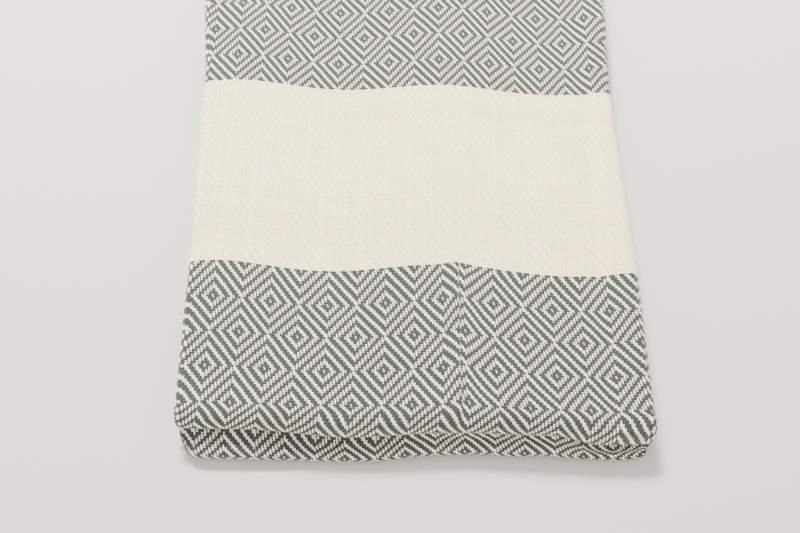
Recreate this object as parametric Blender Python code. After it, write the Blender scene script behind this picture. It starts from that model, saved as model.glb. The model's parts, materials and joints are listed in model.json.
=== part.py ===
"""A golf towel of diamond twill cotton, folded in thirds lengthwise and then in half across.

Frame: origin under the middle of the folded towel on the surface it lies on, +Z up, and +Y pointing
away from the cross fold towards the two hemmed ends. All lengths are in metres.

The cloth is one woven length in use. Here it is divided where it bends: flat panels and flaps, the
turned edges that join them, and the nested rolls of the cross fold that the upper half hinges on.
"""

import math

import bmesh
import bpy
from mathutils import Vector

# Driving dimensions.
FOLDED_WIDTH = 0.135        # across the folded stack, over both turned edges
FLAT_LENGTH = 0.610         # of the towel opened out, hem to hem
CLOTH_THICKNESS = 0.0018    # of the diamond twill
LAYER_GAP = 0.0003          # between layers that lie on each other
HEM_DEPTH = 0.012           # of the turned and sewn ends
STITCH_WIDTH = 0.0008       # of the sewing thread's row
SELVEDGE_WIDTH = 0.004      # of the tight woven edge along both long sides
FLAP_MARGIN = 0.003         # from a flap's free edge to the turned edge opposite
FOLD_STEPS = 24             # facets round a half turn

# Derived sizes of the stack: six layers, three in each half.
PITCH = CLOTH_THICKNESS + LAYER_GAP
HALF_CLOTH = CLOTH_THICKNESS / 2
MIDDLE_Z = HALF_CLOTH
LEFT_Z = MIDDLE_Z + PITCH
RIGHT_Z = LEFT_Z + PITCH
AXIS_Z = RIGHT_Z + PITCH / 2
ROLL_RADIUS = {
    "middle": AXIS_Z - MIDDLE_Z,
    "left": AXIS_Z - LEFT_Z,
    "right": AXIS_Z - RIGHT_Z,
}
LEFT_TURN_RADIUS = (LEFT_Z - MIDDLE_Z) / 2
RIGHT_TURN_RADIUS = (RIGHT_Z - MIDDLE_Z) / 2

# Where the flat cloth ends across the stack and starts along it.
X_LEFT = -FOLDED_WIDTH / 2 + LEFT_TURN_RADIUS + HALF_CLOTH
X_RIGHT = FOLDED_WIDTH / 2 - RIGHT_TURN_RADIUS - HALF_CLOTH
FLAT_RUN = {key: FLAT_LENGTH / 2 - math.pi * r / 2 for key, r in ROLL_RADIUS.items()}
STACK_LENGTH = ROLL_RADIUS["middle"] + HALF_CLOTH + FLAT_RUN["right"]
AXIS_Y = -STACK_LENGTH / 2 + ROLL_RADIUS["middle"] + HALF_CLOTH
PANEL_START = AXIS_Y + LAYER_GAP

# How far each layer reaches across, with its selvedge left out.
LEFT_FLAP_END = X_RIGHT - FLAP_MARGIN
RIGHT_FLAP_END = X_LEFT + FLAP_MARGIN
SPANS = {
    "middle": (X_LEFT + LAYER_GAP, X_RIGHT - LAYER_GAP),
    "left": (X_LEFT + LAYER_GAP, LEFT_FLAP_END - SELVEDGE_WIDTH - LAYER_GAP),
    "right": (RIGHT_FLAP_END + SELVEDGE_WIDTH + LAYER_GAP, X_RIGHT - LAYER_GAP),
}
LAYER_Z = {"middle": MIDDLE_Z, "left": LEFT_Z, "right": RIGHT_Z}


def clear_scene():
    """Take away whatever the new scene holds."""
    for obj in list(bpy.data.objects):
        bpy.data.objects.remove(obj)


def material(name, colour, roughness):
    """A plain cloth or thread material."""
    made = bpy.data.materials.new(name)
    made.use_nodes = True
    shader = made.node_tree.nodes["Principled BSDF"]
    shader.inputs["Base Color"].default_value = (*colour, 1.0)
    shader.inputs["Roughness"].default_value = roughness
    shader.inputs["Metallic"].default_value = 0.0
    return made


def add_mesh(name, mesh_data, looks, parent, location):
    """Put a finished mesh in the scene as a named object under its half of the towel."""
    mesh = bpy.data.meshes.new(name)
    bmesh.ops.recalc_face_normals(mesh_data, faces=mesh_data.faces)
    mesh_data.to_mesh(mesh)
    mesh_data.free()
    mesh.materials.append(looks)
    obj = bpy.data.objects.new(name, mesh)
    obj.parent = parent
    obj.location = Vector(location) - parent.location
    bpy.context.collection.objects.link(obj)
    return obj


def slab(name, x_span, y_span, z, looks, parent):
    """A flat length of cloth, one cloth thickness deep and centred on height z."""
    size = Vector((x_span[1] - x_span[0], y_span[1] - y_span[0], CLOTH_THICKNESS))
    centre = ((x_span[0] + x_span[1]) / 2, (y_span[0] + y_span[1]) / 2, z)
    data = bmesh.new()
    bmesh.ops.create_cube(data, size=1.0)
    bmesh.ops.scale(data, vec=size, verts=data.verts)
    obj = add_mesh(name, data, looks, parent, centre)
    return obj


def turn_profile(radius, side):
    """Corners of a half ring of cloth, open towards the stack. side is -1 on the left, 1 on the right."""
    angles = [math.pi * (i / FOLD_STEPS - 0.5) for i in range(FOLD_STEPS + 1)]
    outer = radius + HALF_CLOTH
    inner = radius - HALF_CLOTH
    ring = [(side * outer * math.cos(a), outer * math.sin(a)) for a in angles]
    ring += [(side * inner * math.cos(a), inner * math.sin(a)) for a in reversed(angles)]
    return ring


def shade_round(obj):
    """Smooth the curved faces and keep the cloth's cut edges crisp."""
    obj.data.shade_smooth()
    obj.data.set_sharp_from_angle(angle=math.radians(40))


def profile_face(data, corners):
    """One flat face through the corners of a profile."""
    return data.faces.new([data.verts.new(corner) for corner in corners])


def extruded(name, corners, along, looks, parent, location):
    """A closed solid made by pushing a profile straight along a vector."""
    data = bmesh.new()
    face = profile_face(data, corners)
    pushed = bmesh.ops.extrude_face_region(data, geom=[face])["geom"]
    moved = [item for item in pushed if isinstance(item, bmesh.types.BMVert)]
    bmesh.ops.translate(data, vec=along, verts=moved)
    obj = add_mesh(name, data, looks, parent, location)
    shade_round(obj)
    return obj


def side_turn(name, radius, side, z, length, looks, parent):
    """The turned edge that carries the middle panel round into one of its flaps."""
    x = X_LEFT if side < 0 else X_RIGHT
    corners = [(px, 0.0, pz) for px, pz in turn_profile(radius, side)]
    return extruded(name, corners, (0.0, length, 0.0), looks, parent, (x, PANEL_START, z))


def cross_roll(name, key, x_span, looks, parent):
    """One nested roll of the cross fold: half a tube of cloth about the hinge line."""
    width = x_span[1] - x_span[0]
    corners = [(0.0, py, pz) for py, pz in turn_profile(ROLL_RADIUS[key], -1)]
    return extruded(name, corners, (width, 0.0, 0.0), looks, parent, (x_span[0], AXIS_Y, AXIS_Z))


def corner_turn(name, radius, side, z, looks, parent):
    """A turned edge carried round the cross fold: its half ring spun half a turn about the hinge line."""
    x = X_LEFT if side < 0 else X_RIGHT
    drop = z - AXIS_Z
    data = bmesh.new()
    face = profile_face(data, [(px, 0.0, drop + pz) for px, pz in turn_profile(radius, side)])
    bmesh.ops.spin(
        data,
        geom=[face],
        cent=(0.0, 0.0, 0.0),
        axis=(-1.0, 0.0, 0.0),
        angle=math.pi,
        steps=FOLD_STEPS,
    )
    obj = add_mesh(name, data, looks, parent, (x, AXIS_Y, AXIS_Z))
    shade_round(obj)
    return obj


def half_name(half, what):
    """A node name such as upper_left_flap."""
    return half + "_" + what


def mirrored(half, z):
    """Height of a lower layer, or of its twin in the upper half."""
    return z if half == "lower" else 2 * AXIS_Z - z


def build_half(half, parent, looks):
    """The panel, flaps, turned edges, selvedges, hems and stitch rows of one half."""
    cloth_names = {"middle": "middle_panel", "left": "left_flap", "right": "right_flap"}
    for key, title in cloth_names.items():
        z = mirrored(half, LAYER_Z[key])
        end = AXIS_Y + FLAT_RUN[key]
        stitch_start = end - HEM_DEPTH
        cloth_end = stitch_start - LAYER_GAP
        hem_start = stitch_start + STITCH_WIDTH + LAYER_GAP
        span = SPANS[key]
        slab(half_name(half, title), span, (PANEL_START, cloth_end), z, looks["cloth"], parent)
        slab(
            half_name(half, title + "_hem_stitch"),
            span,
            (stitch_start, stitch_start + STITCH_WIDTH),
            z,
            looks["thread"],
            parent,
        )
        slab(half_name(half, title + "_hem"), span, (hem_start, end), z, looks["hem"], parent)

    slab(
        half_name(half, "left_flap_selvedge"),
        (LEFT_FLAP_END - SELVEDGE_WIDTH, LEFT_FLAP_END),
        (PANEL_START, AXIS_Y + FLAT_RUN["left"]),
        mirrored(half, LEFT_Z),
        looks["selvedge"],
        parent,
    )
    slab(
        half_name(half, "right_flap_selvedge"),
        (RIGHT_FLAP_END, RIGHT_FLAP_END + SELVEDGE_WIDTH),
        (PANEL_START, AXIS_Y + FLAT_RUN["right"]),
        mirrored(half, RIGHT_Z),
        looks["selvedge"],
        parent,
    )

    turn_length = FLAT_RUN["middle"] - LAYER_GAP
    left_z = mirrored(half, (MIDDLE_Z + LEFT_Z) / 2)
    right_z = mirrored(half, (MIDDLE_Z + RIGHT_Z) / 2)
    side_turn(
        half_name(half, "left_side_fold"), LEFT_TURN_RADIUS, -1, left_z, turn_length,
        looks["cloth"], parent,
    )
    side_turn(
        half_name(half, "right_side_fold"), RIGHT_TURN_RADIUS, 1, right_z, turn_length,
        looks["cloth"], parent,
    )


def build_cross_fold(parent, looks):
    """The nested rolls and corners at the cross fold, which bend as the upper half turns."""
    cross_roll("cross_fold_outer_roll", "middle", SPANS["middle"], looks["cloth"], parent)
    left_span = (SPANS["left"][0], LEFT_FLAP_END)
    right_span = (RIGHT_FLAP_END, SPANS["right"][1])
    cross_roll("cross_fold_left_flap_roll", "left", left_span, looks["cloth"], parent)
    cross_roll("cross_fold_right_flap_roll", "right", right_span, looks["cloth"], parent)
    corner_turn(
        "cross_fold_left_corner", LEFT_TURN_RADIUS, -1, (MIDDLE_Z + LEFT_Z) / 2,
        looks["cloth"], parent,
    )
    corner_turn(
        "cross_fold_right_corner", RIGHT_TURN_RADIUS, 1, (MIDDLE_Z + RIGHT_Z) / 2,
        looks["cloth"], parent,
    )


def add_half_empty(name):
    """An empty on the hinge line that carries one half of the towel."""
    empty = bpy.data.objects.new(name, None)
    empty.location = (0.0, AXIS_Y, AXIS_Z)
    bpy.context.collection.objects.link(empty)
    return empty


def main():
    clear_scene()
    looks = {
        "cloth": material("diamond_twill_cotton", (0.42, 0.42, 0.39), 0.9),
        "hem": material("hem_cotton", (0.80, 0.76, 0.67), 0.9),
        "selvedge": material("selvedge_cotton", (0.74, 0.72, 0.66), 0.88),
        "thread": material("sewing_thread", (0.84, 0.81, 0.73), 0.7),
    }
    lower = add_half_empty("lower_half_frame")
    upper = add_half_empty("upper_half_frame")
    build_half("lower", lower, looks)
    build_half("upper", upper, looks)
    build_cross_fold(lower, looks)


main()
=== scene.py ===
"""A golf towel of diamond twill cotton, folded in thirds lengthwise and in half across.

The cloth is one mapping from thread numbers to space. End number u counts warp yarns across the cloth,
pick number v counts weft yarns along it, and every piece of cloth is a rectangle of u and v carried
through that mapping, so the weave runs on unbroken from panel to turned edge, roll, flap and hem.
Lengths are in metres. v grows towards the cross fold on the upper half and away from it on the lower.
"""

import json

import bpy
import numpy as np
from mathutils import Matrix, Vector


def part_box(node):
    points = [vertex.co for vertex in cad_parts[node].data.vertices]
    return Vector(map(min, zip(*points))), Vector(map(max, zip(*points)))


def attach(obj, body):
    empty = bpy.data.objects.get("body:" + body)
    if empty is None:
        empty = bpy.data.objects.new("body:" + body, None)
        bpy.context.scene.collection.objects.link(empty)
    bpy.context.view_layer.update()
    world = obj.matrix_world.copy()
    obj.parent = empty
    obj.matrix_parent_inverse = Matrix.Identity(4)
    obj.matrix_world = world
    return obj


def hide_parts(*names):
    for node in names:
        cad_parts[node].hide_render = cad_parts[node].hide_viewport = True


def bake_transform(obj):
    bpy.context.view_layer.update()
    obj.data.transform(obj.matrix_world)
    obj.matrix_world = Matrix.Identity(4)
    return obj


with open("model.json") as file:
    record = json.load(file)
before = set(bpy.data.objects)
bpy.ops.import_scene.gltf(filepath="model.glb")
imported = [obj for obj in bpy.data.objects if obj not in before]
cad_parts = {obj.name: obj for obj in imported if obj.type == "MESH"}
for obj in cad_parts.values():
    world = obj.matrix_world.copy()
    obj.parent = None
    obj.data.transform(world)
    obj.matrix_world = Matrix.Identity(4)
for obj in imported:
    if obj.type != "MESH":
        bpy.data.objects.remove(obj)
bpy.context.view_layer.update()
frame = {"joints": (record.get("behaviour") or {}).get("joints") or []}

MM = 0.001

# ---- the frame's own sizes -------------------------------------------------------------------------
PANEL_LOW, PANEL_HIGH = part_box("upper_middle_panel")
LOWER_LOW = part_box("lower_middle_panel")[0]
HEM_LOW, HEM_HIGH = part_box("upper_middle_panel_hem")
HINGE = Vector(frame["joints"][0]["pos_m"])
CLOTH = PANEL_HIGH.z - PANEL_LOW.z
HALF_CLOTH = CLOTH / 2
X_LEFT, X_RIGHT = PANEL_LOW.x, PANEL_HIGH.x
LAYER_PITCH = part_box("lower_left_flap")[0].z - LOWER_LOW.z
LEFT_TURN = LAYER_PITCH / 2
RIGHT_TURN = LAYER_PITCH
HEM_START, HEM_END = HEM_LOW.y, HEM_HIGH.y

# ---- the weave -------------------------------------------------------------------------------------
END_PITCH = 0.7545 * MM      # between warp yarns
PICK_PITCH = 0.955 * MM      # between weft yarns
PICK_PITCH_FOLD = 0.90 * MM  # the same, where the cloth is eased in next to the cross fold
DIAMOND_ENDS = 11            # warp yarns from a diamond's middle to its side
DIAMOND_PICKS = 12           # weft yarns from a diamond's middle to its tip
FIRST_COLUMN_X = -59.1 * MM  # middle of the leftmost whole column of diamonds
ROW_V0_Y = -110.8 * MM       # where pick 0 lies on the upper half
GREY_PICKS = 120.0
CREAM_PICKS = 72.0
GREY_STARTS = -12.5          # pick at which the grey band round the cross fold starts
YARN_DIP = 0.10 * MM         # how far a yarn rises and dips as it passes over and under
YARN_CROWN = 0.13 * MM       # how round a yarn stands between its neighbours
YARN_SLIM = 1.30             # how much slimmer than its spacing a warp yarn is
YARN_LEAN = 0.20             # how far a float leans across its own width, in ends
CREASE_X = 11.8 * MM         # the pressed crease down the upper half
CREASE_TAKES = 2.0 * MM      # cloth taken up by it
CREASE_OPENS = 0.5 * MM      # how wide its groove stands open
VALLEY_X = 54.0 * MM         # the soft valley near the right edge

# ---- the cross fold --------------------------------------------------------------------------------
SEAM_V = 36.5                # pick on the upper half's seam with the roll
ROLL_PICKS = 37.0            # picks round the roll of the cross fold
LOWER_SEAM_V = SEAM_V + ROLL_PICKS
SEAM_Y = ROW_V0_Y - SEAM_V * PICK_PITCH_FOLD
KNOT_PICKS = (36.5, 39.4, 42.0, 44.8, 47.8, 49.0, 49.8, 50.6, 53.4, 57.6, 61.0, 63.8, 66.6, 73.5)
ASKEW = -2.2 * MM            # how far the lower half lies to the left of the upper
FLOOR_REST = 0.1 * MM        # the lower face's plane, a yarn's rise above the floor
CORNER_TURN = HALF_CLOTH     # radius of the turned edges inside the roll, where they are pinched
PINCHED_CLOTH = 0.7 * MM     # the cloth's thickness where it is pinched inside the corners
CORNER_INSET = 4.0 * MM      # how far the lower bulge's left corner is tucked in
CORE_LOW, CORE_HIGH = 2.8 * MM, 9.4 * MM  # heights in the roll that turned-in cloth heads for
DENT_LOW, DENT_HIGH = 5.7 * MM, 7.7 * MM  # heights on the roll between which that changes over
FLAP_SEAM_V = 34.5           # pick at which the flaps' own rolls start, set back behind the dent
LOWER_FLAP_SEAM_V = 75.5     # pick at which they end


def ease(t):
    """Smooth step: 0 below 0, 1 above 1, and 3t^2 - 2t^3 between."""
    t = np.clip(t, 0.0, 1.0)
    return t * t * (3.0 - 2.0 * t)


def bump(x, centre, half_width):
    """A smooth hill of height 1 at the centre that falls as exp(-(distance / half width)^2)."""
    return np.exp(-(((x - centre) / half_width) ** 2))


def through(y, stations, values):
    """A smooth line through a few values at rising stations, eased from each to the next."""
    y = np.asarray(y, float)
    out = np.full_like(y, values[0])
    for a, b, low, high in zip(stations, stations[1:], values, values[1:]):
        out = out + (high - low) * ease((y - a) / (b - a))
    return out


def triangle_wave(x, half):
    """Distance back to the nearest multiple of twice half: 0, 1, ... half, ... 1, 0 and so on."""
    return half - np.abs(np.mod(x, 2.0 * half) - half)


def weave_height(u, v):
    """Height of the cloth's face over its middle plane, yarn by yarn.

    A warp yarn floats where cos(pi/2 (a + b + 1/2)) is positive, with a and b the end's and the pick's
    triangle waves, and the weft floats where it is negative. The higher of the two yarns shows. Each
    stands in a crown across its own width, cos(pi (distance from its middle)).
    """
    end, pick = np.round(u), np.round(v)
    warp_step = triangle_wave(end, DIAMOND_ENDS) + triangle_wave(v, DIAMOND_PICKS)
    weft_step = triangle_wave(u, DIAMOND_ENDS) + triangle_wave(pick, DIAMOND_PICKS)
    warp_run = np.cos(np.pi / 2 * (warp_step + 0.5))
    weft_run = -np.cos(np.pi / 2 * (weft_step + 0.5))
    warp = YARN_DIP * warp_run + YARN_CROWN * np.cos(np.pi * YARN_SLIM * (u - end))
    weft = YARN_DIP * weft_run + YARN_CROWN * np.cos(np.pi * (v - pick))
    return np.maximum(warp, weft)


# ---- where picks and ends lie on the folded towel --------------------------------------------------
def upper_y(v):
    """Where pick v lies along the upper half, closer together next to the cross fold."""
    return ROW_V0_Y - np.where(v < 0.0, v * PICK_PITCH, v * PICK_PITCH_FOLD)


def lower_y(v):
    """Where pick v lies along the lower half, counted on from the roll."""
    return SEAM_Y + (v - LOWER_SEAM_V) * PICK_PITCH


def left_edge(y):
    """Where the flat cloth ends on the left: the turned edge wanders out beyond the cream band."""
    stations = (-0.150, -0.100, -0.030, 0.012, 0.060, 0.150)
    drift = (0.6, 0.0, -2.0, -5.2, -4.2, -1.0)
    return X_LEFT + MM * through(y, stations, drift)


def right_edge(y):
    """Where the flat cloth ends on the right."""
    stations = (-0.150, -0.100, -0.028, 0.012, 0.080, 0.150)
    drift = (-1.2, -1.5, -3.4, -2.2, -1.0, 0.0)
    return X_RIGHT + MM * through(y, stations, drift)


def crease_strength(y):
    """How strongly the crease shows: fully beside the cross fold, faint across the cream band."""
    stations = (-0.150, -0.138, -0.103, -0.094, -0.030, -0.015)
    return through(y, stations, (0.35, 1.0, 1.0, 0.16, 0.12, 0.0))


def end_x(u, y, creased):
    """Where end u lies across the towel. Past the crease, ends stand closer in by what it takes up."""
    x = FIRST_COLUMN_X + u * END_PITCH
    taken = CREASE_TAKES * ease((x - CREASE_X) / (CREASE_TAKES + CREASE_OPENS))
    given_back = 0.35 * CREASE_TAKES * ease((x - CREASE_X) / (50 * MM))
    left_of_crease = 1.0 - ease((x - 2 * MM) / (14 * MM))
    spread = -0.8 * MM * through(y, (-0.150, -0.120), (1.0, 0.0)) * left_of_crease
    upper_shift = spread - crease_strength(y) * (taken - given_back)
    return x + creased * upper_shift + (1.0 - creased) * ASKEW


def bow(x, y):
    """How far the weft lines bow along the towel, in slow waves that die out at the cross fold."""
    stations = (-0.148, -0.125, -0.105, -0.030, 0.020, 0.100)
    size = through(y, stations, (0.3, 1.0, 1.6, 1.5, 2.1, 1.0)) * MM
    wave = np.cos(2 * np.pi * (x - 9 * MM) / (69 * MM))
    return size * wave + 1.6 * MM * bump(x, CREASE_X, 4 * MM) * crease_strength(y)


def surface_relief(x, y, u):
    """Height of the upper face over a flat one: the crease, the valley by the right edge, the ridge
    before the lip and slow unevenness where soft layers lie on each other."""
    in_groove = FIRST_COLUMN_X + u * END_PITCH - CREASE_X - (CREASE_TAKES + CREASE_OPENS) / 2
    crease = -1.0 * MM * bump(in_groove, 0.0, 0.75 * MM)
    crease = crease + 0.30 * MM * bump(x, CREASE_X - 1.6 * MM, 2.0 * MM)
    valley = -0.85 * MM * bump(x, VALLEY_X, 3.0 * MM) + 0.45 * MM * bump(x, VALLEY_X + 8 * MM, 5.5 * MM)
    valley_runs = through(y, (-0.150, -0.090, -0.030, 0.030), (1.0, 1.0, 0.8, 0.0))
    ridge = 0.55 * MM * bump(y, SEAM_Y + 1.5 * MM, 3.2 * MM) * bump(x, 10 * MM, 42 * MM)
    slow = 0.22 * MM * np.sin(x / (17 * MM) + 1.3) * np.sin(y / (23 * MM) + 0.4)
    slow = slow + 0.18 * MM * np.sin(x / (9 * MM) - y / (31 * MM))
    edges_fall = -0.5 * MM * (bump(x, X_LEFT, 5 * MM) + bump(x, X_RIGHT, 5 * MM))
    return crease * crease_strength(y) + valley * valley_runs + ridge + slow + edges_fall


def turned_round(past, turn):
    """Angle round a turned edge for cloth that is past it, and the length that runs back flat."""
    return np.minimum(past / turn, np.pi), np.maximum(past - np.pi * turn, 0.0)


def across(flat, left, right, left_turn, right_turn):
    """Cloth carried across the stack: flat between the two turned edges, round each of them, then back
    under itself as a flap. Gives x and the depth of the cloth's face below the skin.

    At an angle round a turn, x moves out by (radius + half a cloth) sin(angle) and the depth is
    (radius + half a cloth)(1 - cos(angle)).
    """
    left_angle, left_back = turned_round(np.maximum(left - flat, 0.0), left_turn)
    right_angle, right_back = turned_round(np.maximum(flat - right, 0.0), right_turn)
    left_reach, right_reach = left_turn + HALF_CLOTH, right_turn + HALF_CLOTH
    x = np.clip(flat, left, right) - left_reach * np.sin(left_angle) + left_back
    x = x + right_reach * np.sin(right_angle) - right_back
    depth = left_reach * (1 - np.cos(left_angle)) + right_reach * (1 - np.cos(right_angle))
    return x, depth


def across_half(u, y, creased):
    """Cloth carried across one half of the towel at a place along it."""
    return across(end_x(u, y, creased), left_edge(y), right_edge(y), LEFT_TURN, RIGHT_TURN)


def upper_face(u, v):
    """The pattern face of the upper half at end u and pick v."""
    y = upper_y(v) + 0.0 * u
    x, depth = across_half(u, y, 1.0)
    outer = np.clip(1.0 - depth / CLOTH, 0.0, 1.0)
    z = PANEL_HIGH.z - depth + outer * surface_relief(x, y, u)
    return np.stack([x, y + outer * bow(x, y), z], axis=-1)


def lower_face(u, v):
    """The pattern face of the lower half, which lies on the floor."""
    y = lower_y(v) + 0.0 * u
    x, depth = across_half(u, y, 0.0)
    return np.stack([x, y, FLOOR_REST + depth], axis=-1)


# ---- the roll of the cross fold --------------------------------------------------------------------
def roll_stations(x):
    """Points of the roll's section across the fold line, as (y from the hinge, height), at each x.

    The section is two soft bulges with a dent between: down over the lip, into the dent, and round the
    lower bulge. The lip sags a little left of the middle and droops near the right corner. The lower
    bulge stands back right of the middle. Both corners round back.
    """
    sag = bump(x, -19 * MM, 17 * MM)
    droop = ease((x - 39 * MM) / (14 * MM))
    waist = bump(x, 18 * MM, 18 * MM)
    deep = 1.0 - 0.85 * bump(x, 14 * MM, 22 * MM)
    hollow = bump(x, X_RIGHT - 5 * MM, 6 * MM)
    round_left, round_right = bump(x, X_LEFT - 1 * MM, 4.5 * MM), bump(x, X_RIGHT + 2 * MM, 5 * MM)
    lip = 0.5 * round_left + 0.3 * round_right - 1.3 * droop - 0.9 * sag + 0.2 * np.sin(x / (9 * MM))
    back = 2.6 * round_left + 1.2 * round_right + 1.7 * waist
    back = back + 1.1 * ease((x - 25 * MM) / (15 * MM)) - 0.9 * (1.0 - ease((x + 12 * MM) / (14 * MM)))
    dent = 0.15 + 0.75 * deep + 0.9 * hollow
    valley = 6.7 - 0.3 * deep - 3.0 * droop - 1.6 * sag
    seam, top = (SEAM_Y - HINGE.y) / MM, PANEL_HIGH.z / MM
    none = np.zeros_like(x)
    points = [
        (none + seam, none + top),
        (none + 3.1, none + top - 0.05),
        (lip + 1.2, none + 11.3 - 0.3 * droop),
        (lip - 0.1, none + 9.8 - 0.9 * droop - 0.4 * sag),
        (lip - 0.5, valley + 1.7),
        (lip + 0.6 * dent - 0.3, valley + 0.6),
        (lip + dent - 0.2, valley),
        (lip + 0.5 * dent - 0.5, valley - 0.5),
        (lip - 1.7 + 0.5 * back, 0.9 * valley - 0.4),
        (back - 4.5, 0.72 * valley - 0.1),
        (back - 5.8, 0.45 * valley - 0.2),
        (back - 5.1, none + 0.85),
        (back - 2.7, none + FLOOR_REST / MM),
        (none + seam, none + FLOOR_REST / MM),
    ]
    return np.array([np.stack(np.broadcast_arrays(*p), axis=-1) for p in points]) * MM


def smooth_run(stations, knots, s):
    """A smooth curve through stations that are knots apart: cubic pieces whose slope at each station is
    that of the line between its two neighbours. stations is (count, columns, 2), s is (rows, columns)."""
    slopes = np.empty_like(stations)
    slopes[1:-1] = (stations[2:] - stations[:-2]) / (knots[2:] - knots[:-2])[:, None, None]
    slopes[0] = (stations[1] - stations[0]) / (knots[1] - knots[0])
    slopes[-1] = (stations[-1] - stations[-2]) / (knots[-1] - knots[-2])
    piece = np.clip(np.searchsorted(knots, s, side="right") - 1, 0, len(knots) - 2)
    column = np.broadcast_to(np.arange(stations.shape[1]), s.shape)
    span = (knots[piece + 1] - knots[piece])[..., None]
    t = (s[..., None] - knots[piece][..., None]) / span
    p0, p1 = stations[piece, column], stations[piece + 1, column]
    m0, m1 = slopes[piece, column] * span, slopes[piece + 1, column] * span
    return (
        (2 * t**3 - 3 * t**2 + 1) * p0
        + (t**3 - 2 * t**2 + t) * m0
        + (3 * t**2 - 2 * t**3) * p1
        + (t**3 - t**2) * m1
    )


def roll_knots():
    """Distances along the roll's section at the middle of the towel, from the upper seam."""
    middle = roll_stations(np.array([0.0]))[:, 0]
    steps = np.linalg.norm(np.diff(middle, axis=0), axis=1)
    return np.concatenate([[0.0], np.cumsum(steps)])


KNOTS = roll_knots()


def roll_run(v):
    """Distance round the roll at pick v: straight lines through the stations' picks, carried on past
    both seams and averaged over three picks either way so that their spacing changes gradually."""
    past = 6.0
    picks = np.array([KNOT_PICKS[0] - past, *KNOT_PICKS, KNOT_PICKS[-1] + past])
    first_slope = KNOTS[1] / (KNOT_PICKS[1] - KNOT_PICKS[0])
    last_slope = (KNOTS[-1] - KNOTS[-2]) / (KNOT_PICKS[-1] - KNOT_PICKS[-2])
    run = np.array([-past * first_slope, *KNOTS, KNOTS[-1] + past * last_slope])
    near = [np.interp(v + step, picks, run) for step in (-1.8, -0.9, 0.0, 0.9, 1.8)]
    return np.clip(sum(near) / len(near), 0.0, KNOTS[-1])


def roll_face(u, v):
    """The pattern face of the cross fold's roll, which carries on from both halves at its seams. Cloth
    turned in at its corners lies deeper, towards a core line that stands upright between the seams."""
    s = roll_run(v) + 0.0 * u
    fades = 1.0 - ease(s / (9 * MM))
    y_seam = SEAM_Y + 0.0 * u
    from_seams = ease(s / (2.5 * MM)) * ease((KNOTS[-1] - s) / (2.5 * MM))
    left_turn = LEFT_TURN + (CORNER_TURN - LEFT_TURN) * from_seams
    right_turn = RIGHT_TURN + (CORNER_TURN - RIGHT_TURN) * from_seams
    inset = CORNER_INSET * bump(s, KNOTS[10], 4.0 * MM) * from_seams
    left = left_edge(y_seam) + inset - (LEFT_TURN - left_turn)
    right = right_edge(y_seam) - 0.4 * inset + (RIGHT_TURN - right_turn)
    x, depth = across(end_x(u, y_seam, fades), left, right, left_turn, right_turn)
    stations = roll_stations(np.clip(x[0], X_LEFT - 2 * MM, X_RIGHT + 2 * MM))
    section = smooth_run(stations, KNOTS, s)
    section[..., 1] = np.maximum(section[..., 1], FLOOR_REST)
    rises = ease((section[..., 1] - DENT_LOW) / (DENT_HIGH - DENT_LOW))
    core_height = CORE_LOW + (CORE_HIGH - CORE_LOW) * rises
    core = np.stack([SEAM_Y - HINGE.y + 0.0 * core_height, core_height], axis=-1)
    inward = core - section
    inward = inward / np.linalg.norm(inward, axis=-1, keepdims=True)
    outer = np.clip(1.0 - depth / CLOTH, 0.0, 1.0) * fades
    y = HINGE.y + section[..., 0] + inward[..., 0] * depth + outer * bow(x, y_seam)
    z = section[..., 1] + inward[..., 1] * depth + outer * surface_relief(x, y_seam, u)
    return np.stack([x, y, z], axis=-1)


def flap_roll_face(layer_radius):
    """The pattern face inside a flap's roll: half a tube about a line behind the hinge. Its radius is
    the layer's less half a cloth, since a flap lies pattern side in. Gives a function of end and pick."""
    inner = layer_radius - HALF_CLOTH

    def face(u, v):
        turned = (v - FLAP_SEAM_V) / (LOWER_FLAP_SEAM_V - FLAP_SEAM_V)
        seam_y = upper_y(FLAP_SEAM_V) + turned * (lower_y(LOWER_FLAP_SEAM_V) - upper_y(FLAP_SEAM_V))
        x, _ = across_half(u, seam_y, 1.0 - turned)
        y = seam_y - inner * np.sin(np.pi * turned) + 0.0 * u
        z = HINGE.z + inner * np.cos(np.pi * turned) + 0.0 * u
        return np.stack([x, y, z], axis=-1)

    return face


# ---- meshes ----------------------------------------------------------------------------------------
def unit_normals(points):
    """Normal of a grid of points: the step along picks crossed with the step along ends."""
    along_picks = np.gradient(points, axis=0)
    along_ends = np.gradient(points, axis=1)
    normal = np.cross(along_picks, along_ends)
    return normal / np.maximum(np.linalg.norm(normal, axis=-1, keepdims=True), 1e-12)


def grid_quads(rows, columns, first=0):
    """Corner indices of the quads of a grid of points, wound so that they face the pattern side."""
    i = np.arange(rows * columns).reshape(rows, columns) + first
    a, b, c, d = i[:-1, :-1], i[1:, :-1], i[1:, 1:], i[:-1, 1:]
    return np.stack([a, b, c, d], axis=-1).reshape(-1, 4)


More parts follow.
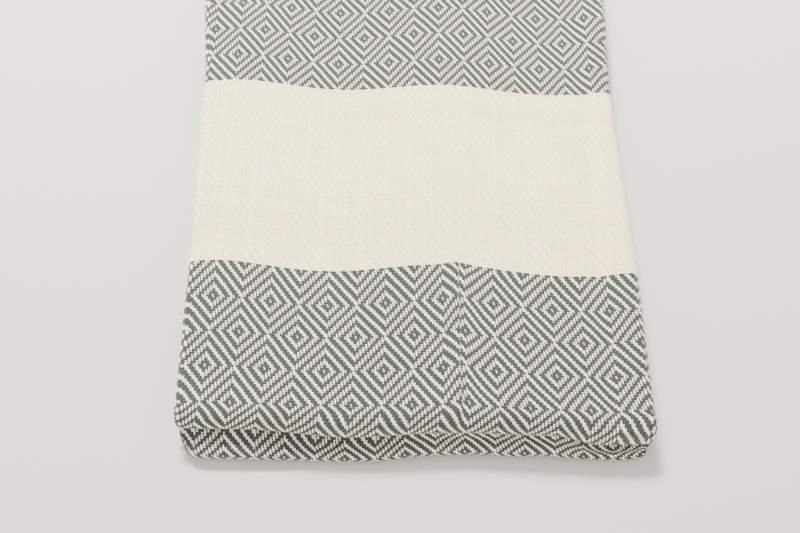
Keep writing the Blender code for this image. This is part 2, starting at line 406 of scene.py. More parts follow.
def back_polygons(rows, columns, coarse):
    """Faces of the plain back, in cells of a few yarns, each cell's border keeping all of the rim's
    points. Gives the polygons and the grid indices that they use."""
    row_stops = sorted(set(range(0, rows, coarse)) | {rows - 1})
    column_stops = sorted(set(range(0, columns, coarse)) | {columns - 1})
    polygons = []
    for r0, r1 in zip(row_stops, row_stops[1:]):
        for c0, c1 in zip(column_stops, column_stops[1:]):
            near = range(c0, c1) if r0 == 0 else (c0,)
            right = range(r0, r1) if c1 == columns - 1 else (r0,)
            far = range(c1, c0, -1) if r1 == rows - 1 else (c1,)
            left = range(r1, r0, -1) if c0 == 0 else (r1,)
            ring = [(r0, c) for c in near] + [(r, c1) for r in right]
            ring += [(r1, c) for c in far] + [(r, c0) for r in left]
            polygons.append([r * columns + c for r, c in ring])
    used = np.unique(np.concatenate([np.array(p) for p in polygons]))
    return polygons, used


def rim_loop(rows, columns):
    """Grid indices round the rim, one after another."""
    i = np.arange(rows * columns).reshape(rows, columns)
    return np.concatenate([i[0, :-1], i[:-1, -1], i[-1, :0:-1], i[:0:-1, 0]])


def put_mesh(name, points, polygons, uv_points, looks):
    """A mesh object at the origin from points and polygons, with thread numbers as its UV map."""
    mesh = bpy.data.meshes.new(name)
    mesh.from_pydata(points.tolist(), [], polygons)
    layer = mesh.uv_layers.new(name="threads")
    corners = np.empty(len(mesh.loops), np.int32)
    mesh.loops.foreach_get("vertex_index", corners)
    layer.data.foreach_set("uv", uv_points[corners].astype(np.float32).ravel())
    mesh.materials.append(looks)
    mesh.shade_smooth()
    mesh.set_sharp_from_angle(angle=np.radians(62))
    mesh.update()
    obj = bpy.data.objects.new(name, mesh)
    bpy.context.scene.collection.objects.link(obj)
    return obj


def cloth_piece(name, ends, picks, face, looks, relief=1.0, thickness=CLOTH, coarse=4):
    """A closed length of cloth over a rectangle of thread numbers: the woven face with its yarns in
    relief, a plain back one thickness behind it, and the rim between them."""
    u, v = np.meshgrid(ends, picks)
    rows, columns = u.shape
    surface = face(u, v)
    normal = unit_normals(surface)
    woven = surface + normal * (relief * (weave_height(u, v) - YARN_CROWN))[..., None]
    back = surface - normal * thickness
    back[..., 2] = np.maximum(back[..., 2], FLOOR_REST)
    polygons, used = back_polygons(rows, columns, coarse)
    renumber = np.full(rows * columns, -1)
    renumber[used] = np.arange(len(used)) + rows * columns
    points = np.concatenate([woven.reshape(-1, 3), back.reshape(-1, 3)[used]])
    threads = np.stack([u, v], axis=-1).reshape(-1, 2)
    uv_points = np.concatenate([threads, threads[used]])
    loop = rim_loop(rows, columns)
    following = np.roll(loop, -1)
    rim = np.stack([loop, following, renumber[following], renumber[loop]], axis=-1)
    faces = grid_quads(rows, columns).tolist() + rim.tolist()
    faces += [[int(renumber[i]) for i in ring] for ring in polygons]
    return put_mesh(name, points, faces, uv_points, looks)


def threads_between(first, last, step=0.5):
    """Thread numbers from first to last, both on the line between two yarns. Half steps fall on the
    yarns' middles and on the lines between them. Whole steps fall on their middles alone."""
    if step < 1.0:
        return first + step * np.arange(int(round((last - first) / step)) + 1)
    middles = np.arange(first + 0.5, last, step)
    return np.concatenate([[first], middles, [last]])


# ---- seams between pieces, in thread numbers -------------------------------------------------------
LEFT_SEAM_U = -4.5           # between the middle third and its left turned edge
RIGHT_SEAM_U = 158.5
LEFT_FLAP_U = -20.5          # between the left turned edge and the left flap
RIGHT_FLAP_U = 178.5
LEFT_FREE_U = -172.5         # where the flaps' diamonds stop and their selvedges start
RIGHT_FREE_U = 321.5
SELVEDGE_ENDS = 6.0
UPPER_HEM_V = np.floor((ROW_V0_Y - HEM_START) / PICK_PITCH) + 0.5
LOWER_HEM_V = np.floor((HEM_START - SEAM_Y) / PICK_PITCH) + LOWER_SEAM_V
HEM_PICKS = np.floor((HEM_END - HEM_START) / PICK_PITCH)
UPPER_BANDS = {
    "grey_band_at_fold": (GREY_STARTS, SEAM_V),
    "cream_band": (GREY_STARTS - CREAM_PICKS, GREY_STARTS),
    "grey_band": (GREY_STARTS - CREAM_PICKS - GREY_PICKS, GREY_STARTS - CREAM_PICKS),
    "cream_end": (UPPER_HEM_V, GREY_STARTS - CREAM_PICKS - GREY_PICKS),
}
GREY_ENDS = GREY_STARTS + GREY_PICKS
LOWER_BANDS = {
    "grey_band_at_fold": (LOWER_SEAM_V, GREY_ENDS),
    "cream_band": (GREY_ENDS, GREY_ENDS + CREAM_PICKS),
    "grey_band": (GREY_ENDS + CREAM_PICKS, GREY_ENDS + CREAM_PICKS + GREY_PICKS),
    "cream_end": (GREY_ENDS + CREAM_PICKS + GREY_PICKS, LOWER_HEM_V),
}


def hem_pick(half, layer):
    """The pick where a layer's hem starts: the flaps' hems lie a little beyond the middle third's."""
    beyond = np.round((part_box(f"{half}_{layer}_hem")[0].y - HEM_START) / PICK_PITCH)
    return UPPER_HEM_V - beyond if half == "upper" else LOWER_HEM_V + beyond


def half_panel(half, bands, face, looks):
    """The middle third of one half, band by band."""
    body = half + "_half"
    node = half + "_middle_panel"
    ends = threads_between(LEFT_SEAM_U, RIGHT_SEAM_U)
    for title, (first, last) in bands.items():
        picks = threads_between(first, last)
        obj = cloth_piece(f"{half}_{title}", ends, picks, face, looks["twill"])
        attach(obj, body)
        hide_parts(node)


def half_turned_edges(half, picks, face, looks):
    """The two long turned edges of one half."""
    sides = {"left": (LEFT_FLAP_U, LEFT_SEAM_U), "right": (RIGHT_SEAM_U, RIGHT_FLAP_U)}
    for side, (first, last) in sides.items():
        ends = threads_between(first, last)
        obj = cloth_piece(f"{half}_{side}_turned_edge", ends, picks, face, looks["twill"])
        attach(obj, half + "_half")
        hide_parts(f"{half}_{side}_side_fold")


def half_flaps(half, seam_pick, face, looks):
    """The two flaps of one half and the selvedges along their free edges. The left flap lies between
    two others and is never seen, so its face is plain."""
    flaps = {
        "left": ((LEFT_FREE_U, LEFT_FLAP_U), (LEFT_FREE_U - SELVEDGE_ENDS, LEFT_FREE_U), 2.0, 0.0),
        "right": ((RIGHT_FLAP_U, RIGHT_FREE_U), (RIGHT_FREE_U, RIGHT_FREE_U + SELVEDGE_ENDS), 1.0, 1.0),
    }
    for side, (span, selvedge_span, step, relief) in flaps.items():
        node = f"{half}_{side}_flap"
        picks = threads_between(*sorted((seam_pick, hem_pick(half, side + "_flap"))), step)
        ends = threads_between(*selvedge_span)
        selvedge = cloth_piece(node + "_woven_edge", ends, picks, face, looks["selvedge"], relief=0.5)
        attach(selvedge, half + "_half")
        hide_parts(node + "_selvedge")
        ends = threads_between(*span, step)
        flap = cloth_piece(node + "_cloth", ends, picks, face, looks["twill"], relief=relief)
        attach(flap, half + "_half")
        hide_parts(node)


def bend_piece(obj, node):
    """Hide the frame's part for a piece of the cross fold and bake the piece's transform into its points."""
    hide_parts(node)
    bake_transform(obj)


def fold_rolls(looks):
    """The cross fold's outer roll and its two corners."""
    picks = threads_between(SEAM_V, LOWER_SEAM_V)
    spans = {
        "cross_fold_outer_roll": (LEFT_SEAM_U, RIGHT_SEAM_U),
        "cross_fold_left_corner": (LEFT_FLAP_U, LEFT_SEAM_U),
        "cross_fold_right_corner": (RIGHT_SEAM_U, RIGHT_FLAP_U),
    }
    for node, (first, last) in spans.items():
        ends = threads_between(first, last)
        thickness = CLOTH if node == "cross_fold_outer_roll" else PINCHED_CLOTH
        obj = cloth_piece(node + "_cloth", ends, picks, roll_face, looks["twill"], thickness=thickness)
        bend_piece(obj, node)
        [yarn_loops(looks)] if node == "cross_fold_left_corner" else ()


def yarn_loops(looks):
    """Loose loops of yarn along the pinched left corner: each is half a ring of yarn, standing out from
    the cloth by out sin(pi t) and reaching along it by length (t - 1/2), with a round section."""
    random = np.random.default_rng(11)
    count, steps, around = 15, 9, 6
    radius = 0.27 * MM
    picks = np.linspace(47.0, 63.0, count) + random.uniform(-0.5, 0.5, count)
    near_edge = np.arange(-14.0, 4.0, 0.25)
    silhouette = roll_face(*np.meshgrid(near_edge, picks))[..., 0]
    ends = near_edge[np.argmin(silhouette, axis=1)] + random.uniform(-0.5, 0.5, count)
    nudge = 0.2
    base = roll_face(ends[None, :], picks[None, :])[0]
    along_end = roll_face(ends[None, :] + nudge, picks[None, :])[0] - base
    along_pick = roll_face(ends[None, :], picks[None, :] + nudge)[0] - base
    outward = np.cross(along_pick, along_end)
    outward /= np.linalg.norm(outward, axis=1, keepdims=True)
    side = along_pick / np.linalg.norm(along_pick, axis=1, keepdims=True)
    side = side + random.uniform(-0.7, 0.7, (count, 1)) * np.cross(outward, side)
    side /= np.linalg.norm(side, axis=1, keepdims=True)
    t = np.linspace(0.0, 1.0, steps)[None, :, None]
    out = random.uniform(0.5, 1.3, (count, 1, 1)) * MM
    length = random.uniform(1.4, 2.4, (count, 1, 1)) * MM
    standing = outward[:, None] * (out * np.sin(np.pi * t) - 0.5 * MM)
    line = base[:, None] + standing + side[:, None] * length * (t - 0.5)
    tangent = np.gradient(line, axis=1)
    tangent /= np.linalg.norm(tangent, axis=2, keepdims=True)
    across_line = np.cross(side, outward)[:, None] + 0.0 * line
    third = np.cross(tangent, across_line)
    turn = np.linspace(0, 2 * np.pi, around, endpoint=False)[None, None, :, None]
    section = across_line[:, :, None] * np.cos(turn) + third[:, :, None] * np.sin(turn)
    rings = line[:, :, None] + radius * section
    index = np.arange(count * steps * around).reshape(count, steps, around)
    ahead = np.roll(index, -1, axis=2)
    sides = np.stack([index[:, :-1], ahead[:, :-1], ahead[:, 1:], index[:, 1:]], axis=-1).reshape(-1, 4)
    faces = sides.tolist() + index[:, 0, ::-1].tolist() + index[:, -1].tolist()
    points = rings.reshape(-1, 3)
    obj = put_mesh("cross_fold_yarn_loops", points, faces, points[:, :2] / MM, looks["thread"])
    bend_piece(obj, "cross_fold_left_corner")
    return obj


def flap_rolls(looks):
    """The flaps' own rolls inside the cross fold."""
    picks = threads_between(FLAP_SEAM_V, LOWER_FLAP_SEAM_V)
    rolls = {
        "cross_fold_left_flap_roll": (LEFT_FREE_U - SELVEDGE_ENDS, LEFT_FLAP_U, 1.5),
        "cross_fold_right_flap_roll": (RIGHT_FLAP_U, RIGHT_FREE_U + SELVEDGE_ENDS, 0.5),
    }
    for node, (first, last, layers_out) in rolls.items():
        face = flap_roll_face(LAYER_PITCH * layers_out)
        ends = threads_between(first, last, 1.0)
        obj = cloth_piece(node + "_cloth", ends, picks, face, looks["twill"], relief=0.0)
        bend_piece(obj, node)


# ---- hems ------------------------------------------------------------------------------------------
HEM_CLOTH = 2.0 * MM         # the hem's own thickness, turned under and pressed
STITCH_LENGTH = 2.7 * MM
STITCH_GAP = 0.45 * MM
STITCH_RADIUS = 0.24 * MM
STITCH_INSET = 1.5           # picks from the hem's start back to its stitches


def tube_piece(name, rings, threads, looks):
    """A closed solid through rows of matching rings, one row along the ends, with flat caps."""
    rows, columns = rings.shape[:2]
    index = np.arange(rows * columns).reshape(rows, columns)
    ahead = np.roll(index, -1, axis=0)
    quads = np.stack([index[:, :-1], ahead[:, :-1], ahead[:, 1:], index[:, 1:]], axis=-1)
    faces = quads.reshape(-1, 4).tolist() + [index[::-1, 0].tolist(), index[:, -1].tolist()]
    return put_mesh(name, rings.reshape(-1, 3), faces, threads.reshape(-1, 2), looks)


def hem_piece(name, ends, face, first_pick, towards_end, facing, looks):
    """A hem: the cloth runs out flat, round its end in half a circle, and back under itself.

    The run along the section is out by (length - radius), half a circle of that radius, and back. Each
    point is the face's point at its distance, lowered by radius (1 - cos(angle)) against its facing.
    """
    radius = HEM_CLOTH / 2
    length = HEM_END - HEM_START
    flat = np.linspace(0.0, length - radius, 24)
    angle = np.concatenate([np.zeros(23), np.linspace(0, np.pi, 11), np.full(23, np.pi)])
    out = np.concatenate([flat[:-1], np.full(11, flat[-1]), flat[::-1][1:]])
    bend = flat[-1] + radius * angle[23:34]
    walked = np.concatenate([flat[:-1], bend, flat[-1] + np.pi * radius + flat[1:]])
    u, _ = np.meshgrid(ends, out)
    base = face(u, np.full_like(u, first_pick))
    reach = (out + radius * np.sin(angle))[:, None]
    drop = (radius * (1.0 - np.cos(angle)))[:, None]
    rings = base + 0.0
    rings[..., 1] += reach
    rings[..., 2] -= facing * drop
    v = (first_pick + towards_end * walked / PICK_PITCH)[:, None] + 0.0 * u
    around = np.concatenate([rings[-1:], rings, rings[:1]])
    normal = unit_normals(around)[1:-1]
    outward = np.sign(np.mean(normal[5, :, 2]) * facing)
    rings = rings + outward * normal * (weave_height(u, v) - YARN_CROWN)[..., None]
    threads = np.stack([u, v], axis=-1)
    if outward < 0:
        rings, threads = rings[:, ::-1], threads[:, ::-1]
    return tube_piece(name, rings, threads, looks)


def stitch_row(name, face, ends, pick, facing, looks):
    """A row of sewing stitches: slim beads set end to end, each a spindle whose radius follows the
    square root of (1 - t^2) along its length, pressed into the cloth by half its height."""
    edge = face(np.array([[ends[0], ends[-1]]]), np.full((1, 2), pick))[0]
    low, high = min(edge[:, 0]), max(edge[:, 0])
    pitch = STITCH_LENGTH + STITCH_GAP
    centres = np.arange(low + pitch, high - pitch, pitch)
    t = np.linspace(-0.96, 0.96, 7)
    turn = np.linspace(0, 2 * np.pi, 7)[:-1]
    radius = STITCH_RADIUS * np.sqrt(1.0 - t**2)
    x = centres[:, None, None] + (t * STITCH_LENGTH / 2)[None, :, None] + 0.0 * turn
    y = edge[0, 1] + radius[None, :, None] * np.cos(turn) + 0.10 * MM * np.sin(x / (3.1 * MM))
    sag = 0.12 * MM * (t**2)[None, :, None]
    z = edge[0, 2] + facing * (-0.04 * MM - sag) + radius[None, :, None] * np.sin(turn) + 0.0 * x
    points = np.stack([x, y, z], axis=-1).reshape(-1, 3)
    faces = []
    for bead in range(len(centres)):
        first = bead * 42
        index = np.arange(42).reshape(7, 6) + first
        ahead = np.roll(index, -1, axis=1)
        sides = np.stack([index[:-1], ahead[:-1], ahead[1:], index[1:]], axis=-1).reshape(-1, 4)
        faces += sides.tolist() + [index[0, ::-1].tolist(), index[-1].tolist()]
    return put_mesh(name, points, faces, points[:, :2] / MM, looks)


def half_hems(half, towards_end, face, looks):
    """The three hems at one end of the towel, with their stitches."""
    layers = {
        "middle_panel": (LEFT_SEAM_U, RIGHT_SEAM_U, 1.0 if half == "upper" else -1.0),
        "left_flap": (LEFT_FREE_U - SELVEDGE_ENDS, LEFT_FLAP_U, -1.0 if half == "upper" else 1.0),
        "right_flap": (RIGHT_FLAP_U, RIGHT_FREE_U + SELVEDGE_ENDS, -1.0 if half == "upper" else 1.0),
    }
    for layer, (first, last, facing) in layers.items():
        ends = threads_between(first, last)
        node = f"{half}_{layer}_hem"
        first_pick = hem_pick(half, layer)
        hem = hem_piece(node + "_cloth", ends, face, first_pick, towards_end, facing, looks["hem"])
        sewn = first_pick - STITCH_INSET * towards_end
        stitches = stitch_row(node + "_sewing", face, ends, sewn, facing, looks["thread"])
        for obj in (hem, stitches):
            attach(obj, half + "_half")
        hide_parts(node)
        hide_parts(node + "_stitch")


# ---- finishes --------------------------------------------------------------------------------------
OFF_WHITE = (0.90, 0.835, 0.63)
GREYED_AND_SHADED_WHITE = (0.71, 0.675, 0.545)   # the same warp in the grey bands, darker: partly the dark weft showing through it, partly painted shade
CREAM = (0.92, 0.73, 0.36)
GREY = (0.035, 0.037, 0.034)
THREAD_DARK, THREAD_LIGHT = (0.66, 0.63, 0.55), (0.84, 0.81, 0.73)
FLOOR_PALE = (0.49, 0.475, 0.43)


class Nodes:
    """A material's node tree, with short ways to add a sum, a mix and a noise."""

    def __init__(self, name, roughness, sheen):
        self.material = bpy.data.materials.new(name)
        self.material.use_nodes = True
        self.tree = self.material.node_tree
        self.shader = self.tree.nodes["Principled BSDF"]
        self.shader.inputs["Roughness"].default_value = roughness
        self.shader.inputs["Specular IOR Level"].default_value = 0.25
        self.shader.inputs["Sheen Weight"].default_value = sheen
        self.shader.inputs["Sheen Roughness"].default_value = 0.45

    def feed(self, socket, value):
        """Link a socket to another, or set it to a value."""
        if isinstance(value, bpy.types.NodeSocket):
            self.tree.links.new(value, socket)
        else:
            socket.default_value = value

    def math(self, operation, *values, clamp=False):
        """One arithmetic node over sockets and numbers."""
        node = self.tree.nodes.new("ShaderNodeMath")
        node.operation = operation
        node.use_clamp = clamp
        for socket, value in zip(node.inputs, values):
            self.feed(socket, value)
        return node.outputs[0]

    def blend(self, share, low, high, kind="MIX"):
        """A mix of two colours."""
        node = self.tree.nodes.new("ShaderNodeMix")
        node.data_type = "RGBA"
        node.blend_type = kind
        self.feed(node.inputs["Factor"], share)
        for socket, value in ((node.inputs[6], low), (node.inputs[7], high)):
            self.feed(socket, (*value, 1.0) if isinstance(value, tuple) else value)
        return node.outputs[2]

    def ranged(self, value, low, high, to_low, to_high):
        """A value carried from one range to another, clamped."""
        node = self.tree.nodes.new("ShaderNodeMapRange")
        for socket, given in zip(node.inputs, (value, low, high, to_low, to_high)):
            self.feed(socket, given)
        return node.outputs[0]

    def threads(self):
        """End and pick numbers from the thread map."""
        source = self.tree.nodes.new("ShaderNodeUVMap")
        source.uv_map = "threads"
        split = self.tree.nodes.new("ShaderNodeSeparateXYZ")
        self.tree.links.new(source.outputs[0], split.inputs[0])
        return source.outputs[0], split.outputs[0], split.outputs[1]

    def stretched(self, vector, scale):
        """A vector scaled along each of its parts."""
        node = self.tree.nodes.new("ShaderNodeMapping")
        node.inputs["Scale"].default_value = scale
        self.feed(node.inputs["Vector"], vector)
        return node.outputs[0]

    def noise(self, vector, scale, detail=2.0):
        """Soft noise from 0 to 1."""
        node = self.tree.nodes.new("ShaderNodeTexNoise")
        node.inputs["Scale"].default_value = scale
        node.inputs["Detail"].default_value = detail
        self.feed(node.inputs["Vector"], vector)
        return node.outputs["Fac"]

    def per_thread(self, number, seed):
        """A random value from 0 to 1 for each yarn, from its number."""
        node = self.tree.nodes.new("ShaderNodeTexWhiteNoise")
        node.noise_dimensions = "1D"
        self.feed(node.inputs["W"], self.math("ADD", number, seed))
        return node.outputs["Value"]

    def bump(self, height, strength, distance):
        """Bend the shading by a height."""
        node = self.tree.nodes.new("ShaderNodeBump")
        node.inputs["Strength"].default_value = strength
        node.inputs["Distance"].default_value = distance
        self.feed(node.inputs["Height"], height)
        self.feed(self.shader.inputs["Normal"], node.outputs[0])


def yarn_crown(nodes, offset, run, slim=1.0):
    """A yarn's height in millimetres: its dip over and under, and its round crown across."""
    crown = nodes.math("COSINE", nodes.math("MULTIPLY", offset, np.pi * slim))
    high = nodes.math("MULTIPLY", crown, YARN_CROWN / MM)
    return nodes.math("MULTIPLY_ADD", run, YARN_DIP / MM, high)


def over_and_under(nodes, a, b):
    """cos(pi/2 (a + b + 1/2)): above 0 where the warp floats."""
    total = nodes.math("ADD", nodes.math("ADD", a, b), 0.5)
    return total, nodes.math("COSINE", nodes.math("MULTIPLY", total, np.pi / 2))


def warp_yarn(nodes, u, end, row, rising):
    """One warp yarn's height and the place across it, leaning along each of its floats."""
    total, run = over_and_under(nodes, nodes.math("PINGPONG", end, DIAMOND_ENDS), row)
    along = nodes.math("SINE", nodes.math("MULTIPLY", total, np.pi / 2))
    lean = nodes.math("MULTIPLY", nodes.math("MULTIPLY", along, rising), YARN_LEAN)
    place = nodes.math("SUBTRACT", nodes.math("SUBTRACT", u, end), lean)
    kept = nodes.math("MINIMUM", nodes.math("MAXIMUM", place, -0.8), 0.8)
    return yarn_crown(nodes, kept, run, YARN_SLIM), place


def weave_nodes(nodes, u, v):
    """The diamond twill from end and pick: how far the warp covers, the face's height, the numbers of
    the end and the pick, and the places across each yarn. The warp is the higher of the nearest yarn
    and the one beyond the nearer gap, since a leaning yarn crosses the line between the two."""
    end, pick = nodes.math("ROUND", u), nodes.math("ROUND", v)
    row = nodes.math("PINGPONG", v, DIAMOND_PICKS)
    cycle = nodes.math("FLOORED_MODULO", v, 2.0 * DIAMOND_PICKS)
    rising = nodes.math("MULTIPLY_ADD", nodes.math("LESS_THAN", cycle, DIAMOND_PICKS), 2.0, -1.0)
    beside = nodes.math("ADD", end, nodes.math("SIGN", nodes.math("SUBTRACT", u, end)))
    near, across_end = warp_yarn(nodes, u, end, row, rising)
    other, _ = warp_yarn(nodes, u, beside, row, rising)
    warp = nodes.math("MAXIMUM", near, other)
    _, weft_bare = over_and_under(
        nodes, nodes.math("PINGPONG", u, DIAMOND_ENDS), nodes.math("PINGPONG", pick, DIAMOND_PICKS)
    )
    across_pick = nodes.math("SUBTRACT", v, pick)
    weft = yarn_crown(nodes, across_pick, nodes.math("MULTIPLY", weft_bare, -1.0))
    share = nodes.ranged(nodes.math("SUBTRACT", warp, weft), 0.03, 0.10, 0.0, 1.0)
    height = nodes.math("MAXIMUM", warp, weft)
    return share, height, end, pick, across_end, across_pick


def wandering(nodes, vector, u, v):
    """End and pick numbers let wander a little, as hand-beaten yarns do."""
    slow = nodes.noise(nodes.stretched(vector, (0.21, 0.27, 1.0)), 1.0, 3.0)
    other = nodes.noise(nodes.stretched(vector, (0.26, 0.18, 1.0)), 1.0, 3.0)
    moved_u = nodes.math("MULTIPLY_ADD", slow, 0.5, nodes.math("SUBTRACT", u, 0.25))
    moved_v = nodes.math("MULTIPLY_ADD", other, 0.5, nodes.math("SUBTRACT", v, 0.25))
    return moved_u, moved_v


def twist_lines(nodes, across_end, across_pick, u, v, share):
    """Fine slanting lines of the yarns' twist, along whichever yarn shows."""
    on_warp = nodes.math("MULTIPLY_ADD", across_end, 9.0, nodes.math("MULTIPLY", v, 14.0))
    on_weft = nodes.math("MULTIPLY_ADD", across_pick, 9.0, nodes.math("MULTIPLY", u, 14.0))
    warp_lines, weft_lines = nodes.math("SINE", on_warp), nodes.math("SINE", on_weft)
    difference = nodes.math("SUBTRACT", warp_lines, weft_lines)
    return nodes.math("MULTIPLY_ADD", difference, share, weft_lines)


def band_colour(nodes, pick, share):
    """Off-white warp over grey or cream weft, by the band that the pick is in."""
    from_start = nodes.math("SUBTRACT", pick, GREY_STARTS)
    cycle = nodes.math("FLOORED_MODULO", from_start, GREY_PICKS + CREAM_PICKS)
    from_fold = nodes.math("ABSOLUTE", nodes.math("SUBTRACT", from_start, GREY_PICKS / 2))
    in_bands = nodes.math("LESS_THAN", from_fold, 1.5 * GREY_PICKS + CREAM_PICKS)
    is_grey = nodes.math("MULTIPLY", nodes.math("LESS_THAN", cycle, GREY_PICKS), in_bands)
    weft = nodes.blend(is_grey, CREAM, GREY)
    # warp in the grey bands is darker: partly grey weft showing through, partly painted shade
    warp = nodes.blend(is_grey, OFF_WHITE, GREYED_AND_SHADED_WHITE)
    return nodes.blend(share, weft, warp)


def cloth_tone(nodes, vector, end, pick, fibre, height, tone):
    """How bright the cloth is: by yarn, by fibre, with painted shade in its grooves, and slowly uneven.
    """
    by_pick = nodes.math("MULTIPLY_ADD", nodes.per_thread(pick, 71.7), 0.09, 0.95 * tone)
    yarn_tone = nodes.math("MULTIPLY_ADD", nodes.per_thread(end, 3.3), 0.07, by_pick)
    fibre_tone = nodes.ranged(fibre, 0.28, 0.72, 0.74, 1.14)
    # painted shade: colour darkened towards 0.62 where the face lies low between yarns
    painted_groove_shade = nodes.ranged(height, -0.02, 0.17, 0.62, 1.0)
    slow = nodes.noise(nodes.stretched(vector, (0.035, 0.028, 1.0)), 1.0, 2.0)
    uneven = nodes.ranged(slow, 0.3, 0.7, 0.965, 1.02)
    fine = nodes.math("MULTIPLY", yarn_tone, fibre_tone)
    return nodes.math("MULTIPLY", fine, nodes.math("MULTIPLY", painted_groove_shade, uneven))


def twill_looks(name, tone=1.0):
    """The diamond twill, coloured by band, with painted shade in its grooves and fuzzy with fibres."""
    nodes = Nodes(name, 0.88, 0.22)
    vector, u, v = nodes.threads()
    u_moved, v_moved = wandering(nodes, vector, u, v)
    share, height, end, pick, across_end, across_pick = weave_nodes(nodes, u_moved, v_moved)
    fibre = nodes.noise(nodes.stretched(vector, (2.6, 1.9, 1.0)), 1.0, 5.0)
    colour = band_colour(nodes, pick, share)
    brightness = nodes.tree.nodes.new("ShaderNodeCombineColor")
    value = cloth_tone(nodes, vector, end, pick, fibre, height, tone)
    for socket in brightness.inputs[:3]:
        nodes.feed(socket, value)
    final = nodes.blend(1.0, colour, brightness.outputs[0], kind="MULTIPLY")
    nodes.feed(nodes.shader.inputs["Base Color"], final)
    lines = twist_lines(nodes, across_end, across_pick, u_moved, v_moved, share)
    twisted = nodes.math("MULTIPLY_ADD", lines, 0.014, height)
    nodes.bump(nodes.math("MULTIPLY_ADD", fibre, 0.10, twisted), 0.85, MM)
    nodes.feed(nodes.shader.inputs["Roughness"], nodes.ranged(fibre, 0.3, 0.7, 0.82, 0.95))
    return nodes.material


def thread_looks():
    """Two-ply sewing thread, off-white, its plies as slanting stripes."""
    nodes = Nodes("sewing_thread_twisted", 0.7, 0.15)
    _, x, y = nodes.threads()
    stripes = nodes.math("SINE", nodes.math("MULTIPLY_ADD", x, 17.0, nodes.math("MULTIPLY", y, 11.0)))
    share = nodes.ranged(stripes, -1.0, 1.0, 0.0, 1.0)
    colour = nodes.blend(share, THREAD_DARK, THREAD_LIGHT)
    nodes.feed(nodes.shader.inputs["Base Color"], colour)
    nodes.bump(stripes, 0.4, 0.1 * MM)
    return nodes.material


def floor_looks():
    """A plain pale floor with a faint grain."""
    nodes = Nodes("pale_floor", 0.85, 0.0)
    place = nodes.tree.nodes.new("ShaderNodeTexCoord").outputs["Object"]
    grain = nodes.ranged(nodes.noise(place, 900.0, 3.0), 0.3, 0.7, 0.0, 1.0)
    low = tuple(0.97 * part for part in FLOOR_PALE)
    nodes.feed(nodes.shader.inputs["Base Color"], nodes.blend(grain, low, FLOOR_PALE))
    return nodes.material


# ---- floor, light and camera -----------------------------------------------------------------------
CAMERA_PLACE = (-14.1 * MM, -276.0 * MM, 302.0 * MM)
CAMERA_DOWN = np.radians(58.45)     # below the horizon
CAMERA_TURN = np.radians(2.87)      # towards +X
CAMERA_ROLL = np.radians(3.74)
LENS = 51.98
FLOOR_REACH = 3.0
FLOOR_LEVEL = -0.1 * MM      # just under the towel, so that the two never share a plane
DAYLIGHT = (1.0, 0.99, 0.97)
KEY = {"place": (-0.32, 1.05, 1.0), "aim": (-0.06, 0.27, 0.0), "size": 0.7, "power": 9.0}
KEY_SPREAD = np.radians(22)
FILL = {"place": (0.1, -1.25, 0.22), "aim": (0.0, -0.15, 0.006), "size": 0.5, "power": 17.0}
SURROUND = 1.73              # strength of the even light from all round


def add_floor():
    """The surface that the towel lies on."""
    mesh = bpy.data.meshes.new("floor")
    corners = [(-1, -1), (1, -1), (1, 1), (-1, 1)]
    points = [(x * FLOOR_REACH, y * FLOOR_REACH, FLOOR_LEVEL) for x, y in corners]
    mesh.from_pydata(points, [], [(0, 1, 2, 3)])
    mesh.materials.append(floor_looks())
    floor = bpy.data.objects.new("floor", mesh)
    bpy.context.scene.collection.objects.link(floor)


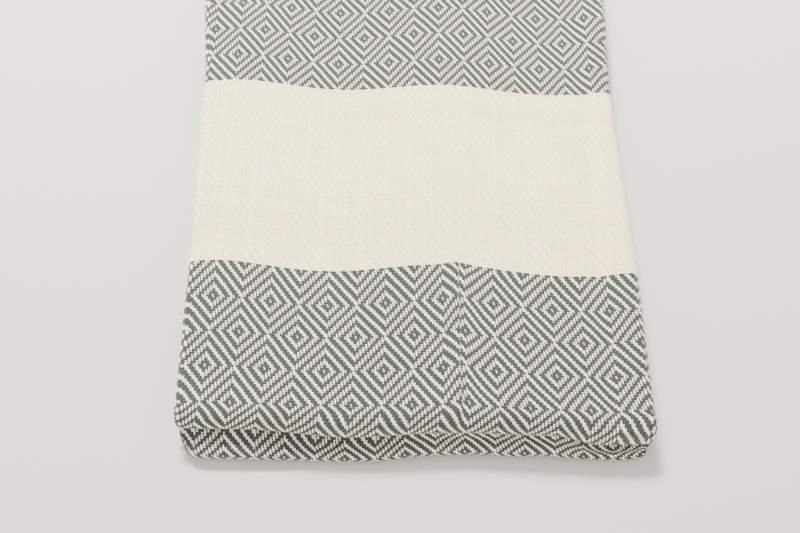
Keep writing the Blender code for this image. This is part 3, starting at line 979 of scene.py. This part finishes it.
def add_camera():
    """The camera, turned by its compass angle, its angle below the horizon and its roll."""
    level = np.cos(CAMERA_DOWN)
    forward = Vector((np.sin(CAMERA_TURN) * level, np.cos(CAMERA_TURN) * level, -np.sin(CAMERA_DOWN)))
    level_right = forward.cross(Vector((0, 0, 1))).normalized()
    level_up = level_right.cross(forward)
    right = level_right * np.cos(CAMERA_ROLL) + level_up * np.sin(CAMERA_ROLL)
    up = level_up * np.cos(CAMERA_ROLL) - level_right * np.sin(CAMERA_ROLL)
    data = bpy.data.cameras.new("camera")
    data.lens = LENS
    data.sensor_width = 36.0
    data.clip_start = 0.01
    camera = bpy.data.objects.new("camera", data)
    turn = Matrix((right, up, -forward)).transposed().to_4x4()
    camera.matrix_world = Matrix.Translation(CAMERA_PLACE) @ turn
    bpy.context.scene.collection.objects.link(camera)
    bpy.context.scene.camera = camera


def add_area_light(name, place, aim, size, power, spread=np.pi):
    """A soft square light aimed at a point, its beam fading towards the spread's edge."""
    data = bpy.data.lights.new(name, "AREA")
    data.size = size
    data.spread = spread
    data.energy = power
    data.color = DAYLIGHT
    light = bpy.data.objects.new(name, data)
    light.location = place
    light.rotation_euler = (Vector(aim) - Vector(place)).to_track_quat("-Z", "Y").to_euler()
    bpy.context.scene.collection.objects.link(light)


def add_light():
    """Soft studio light: a broad key from beyond and to the left, a low fill card in front, and an even
    surround."""
    add_area_light("key", **KEY, spread=KEY_SPREAD)
    add_area_light("fill", **FILL)
    world = bpy.data.worlds.new("studio")
    world.use_nodes = True
    background = world.node_tree.nodes["Background"]
    background.inputs["Color"].default_value = (1.0, 0.99, 0.975, 1.0)
    background.inputs["Strength"].default_value = SURROUND
    bpy.context.scene.world = world


# ---- the towel -------------------------------------------------------------------------------------
def build_towel():
    """Every piece of the towel."""
    looks = {
        "twill": twill_looks("diamond_twill"),
        "hem": twill_looks("hem_twill"),
        "selvedge": twill_looks("selvedge_twill", tone=0.97),
        "thread": thread_looks(),
    }
    upper_end, lower_end = UPPER_HEM_V - HEM_PICKS, LOWER_HEM_V + HEM_PICKS
    half_hems("upper", -1.0, upper_face, looks)
    half_hems("lower", 1.0, lower_face, looks)
    half_panel("upper", UPPER_BANDS, upper_face, looks)
    half_panel("lower", LOWER_BANDS, lower_face, looks)
    half_turned_edges("upper", threads_between(upper_end, SEAM_V), upper_face, looks)
    half_turned_edges("lower", threads_between(LOWER_SEAM_V, lower_end), lower_face, looks)
    fold_rolls(looks)
    flap_rolls(looks)
    half_flaps("upper", FLAP_SEAM_V, upper_face, looks)
    half_flaps("lower", LOWER_FLAP_SEAM_V, lower_face, looks)


build_towel()
add_floor()
add_camera()
add_light()
